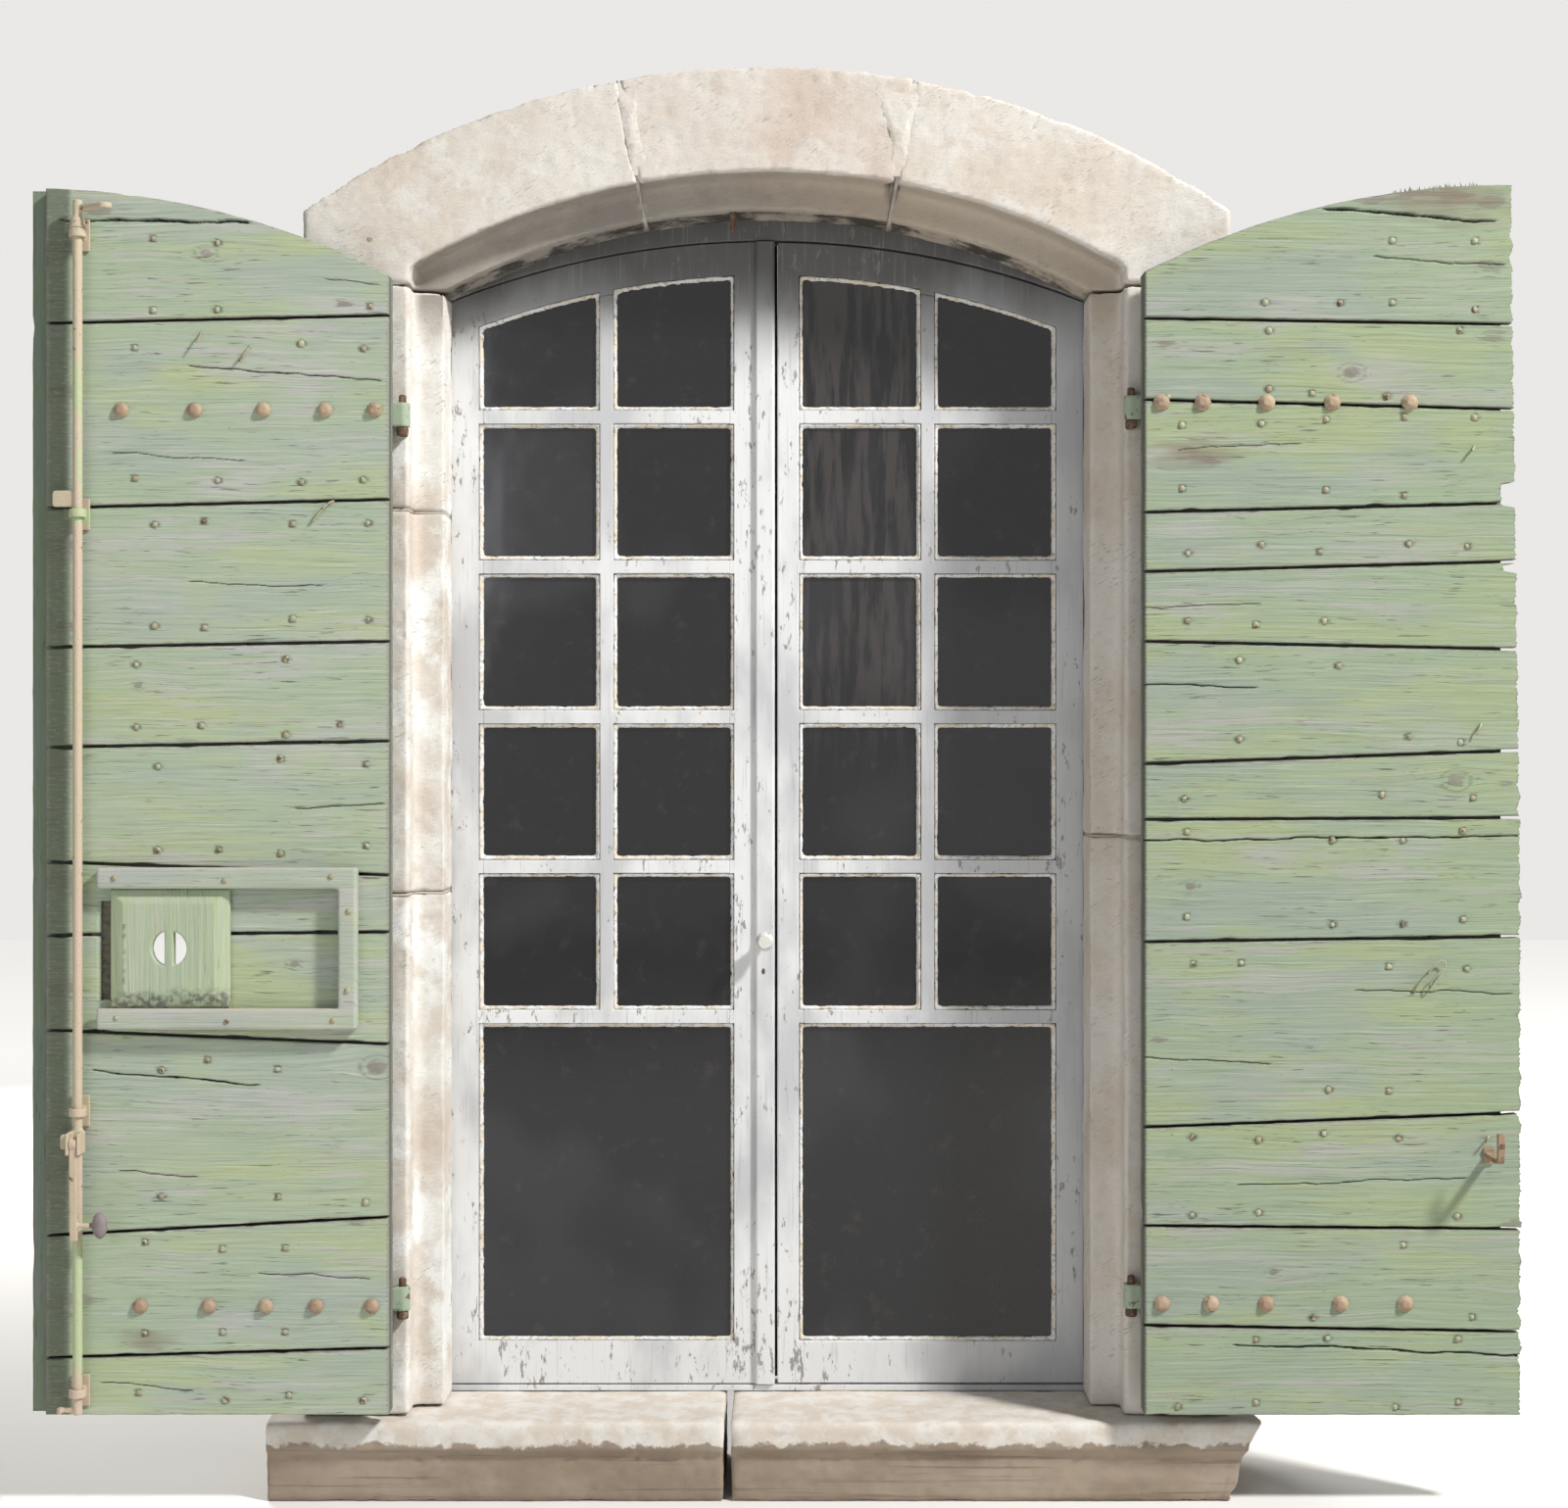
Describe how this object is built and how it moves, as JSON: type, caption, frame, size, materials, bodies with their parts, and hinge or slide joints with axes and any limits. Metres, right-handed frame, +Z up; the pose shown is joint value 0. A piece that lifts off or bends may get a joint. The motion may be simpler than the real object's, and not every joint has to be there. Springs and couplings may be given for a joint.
{
  "type": "window shutters",
  "caption": "Pair of old boarded window shutters hung on an arched stone surround with its glazed casement window, a peep hatch and an espagnolette bolt.",
  "frame": {"origin": "middle of the sill's underside in the plane of the surround's face", "axes": "+X to the right seen from outside, +Y into the wall, +Z up"},
  "size_m": [2.44, 0.4059, 2.386],
  "materials": {
    "limestone": "tooled and pitted pale limestone, stained and worn at its arrises",
    "green_paint": "pale grey-green paint worn thin over weathered boards",
    "rusty_iron": "forged iron with brown rust and remains of cream paint",
    "painted_iron": "forged iron under the boards' green paint",
    "white_paint": "flaking grey-white paint on timber",
    "putty": "cracked cream linseed putty",
    "window_glass": "thin drawn glass, slightly dirty"
  },
  "bodies": {
    "surround": {"sill_stone_left": "limestone", "sill_stone_right": "limestone", "left_jamb_stone_1": "limestone", "left_jamb_stone_2": "limestone", "left_jamb_stone_3": "limestone", "right_jamb_stone_1": "limestone", "right_jamb_stone_2": "limestone", "left_arch_stone": "limestone", "right_arch_stone": "limestone", "keystone": "limestone", "hook_keeper": "rusty_iron", "left_pintles": "rusty_iron", "right_pintles": "rusty_iron", "window_frame": "white_paint", "frame_hinges": "white_paint"},
    "left_casement": {"left_casement_sash": "white_paint", "left_casement_bars": "white_paint", "left_casement_panes": "window_glass", "left_casement_putty": "putty", "left_casement_hinges": "white_paint", "window_knob": "white_paint"},
    "right_casement": {"right_casement_sash": "white_paint", "right_casement_bars": "white_paint", "right_casement_panes": "window_glass", "right_casement_putty": "putty", "right_casement_hinges": "white_paint"},
    "left_shutter": {"left_board_01": "green_paint", "left_board_02": "green_paint", "left_board_03": "green_paint", "left_board_04": "green_paint", "left_board_05": "green_paint", "left_board_06": "green_paint", "left_board_07": "green_paint", "left_board_08": "green_paint", "left_board_09": "green_paint", "left_board_10": "green_paint", "left_outer_boards": "green_paint", "left_straps": "painted_iron", "left_strap_bolts": "rusty_iron", "hatch_battens": "green_paint", "rod_guides": "rusty_iron"},
    "right_shutter": {"right_board_01": "green_paint", "right_board_02": "green_paint", "right_board_03": "green_paint", "right_board_04": "green_paint", "right_board_05": "green_paint", "right_board_06": "green_paint", "right_board_07": "green_paint", "right_board_08": "green_paint", "right_board_09": "green_paint", "right_board_10": "green_paint", "right_board_11": "green_paint", "right_board_12": "green_paint", "right_outer_boards": "green_paint", "right_straps": "painted_iron", "right_strap_bolts": "rusty_iron", "handle_catch": "rusty_iron"},
    "hatch": {"hatch_panel": "green_paint"},
    "espagnolette": {"espagnolette_rod": "rusty_iron"},
    "handle": {"espagnolette_handle": "rusty_iron"}
  },
  "joints": [
    {"name": "left_shutter_swing", "type": "hinge", "parent": "surround", "child": "left_shutter", "pos_m": [-0.604, -0.0129, 1], "axis": [0, 0, 1], "range_deg": [0, 180]},
    {"name": "right_shutter_swing", "type": "hinge", "parent": "surround", "child": "right_shutter", "pos_m": [0.604, -0.0129, 1], "axis": [0, 0, -1], "range_deg": [0, 180]},
    {"name": "left_casement_swing", "type": "hinge", "parent": "surround", "child": "left_casement", "pos_m": [-0.5485, 0.2128, 1], "axis": [0, 0, 1], "range_deg": [0, 95]},
    {"name": "right_casement_swing", "type": "hinge", "parent": "surround", "child": "right_casement", "pos_m": [0.5485, 0.2128, 1], "axis": [0, 0, -1], "range_deg": [0, 95]},
    {"name": "hatch_slide", "type": "slide", "parent": "left_shutter", "child": "hatch", "axis": [1, 0, 0], "range_m": [0, 0.177]},
    {"name": "espagnolette_turn", "type": "hinge", "parent": "left_shutter", "child": "espagnolette", "pos_m": [-1.119, -0.0949, 0.6], "axis": [0, 0, 1], "range_deg": [-20, 30]},
    {"name": "handle_lift", "type": "hinge", "parent": "espagnolette", "child": "handle", "pos_m": [-1.119, -0.1159, 0.608], "axis": [-1, 0, 0], "range_deg": [0, 90]}
  ]
}
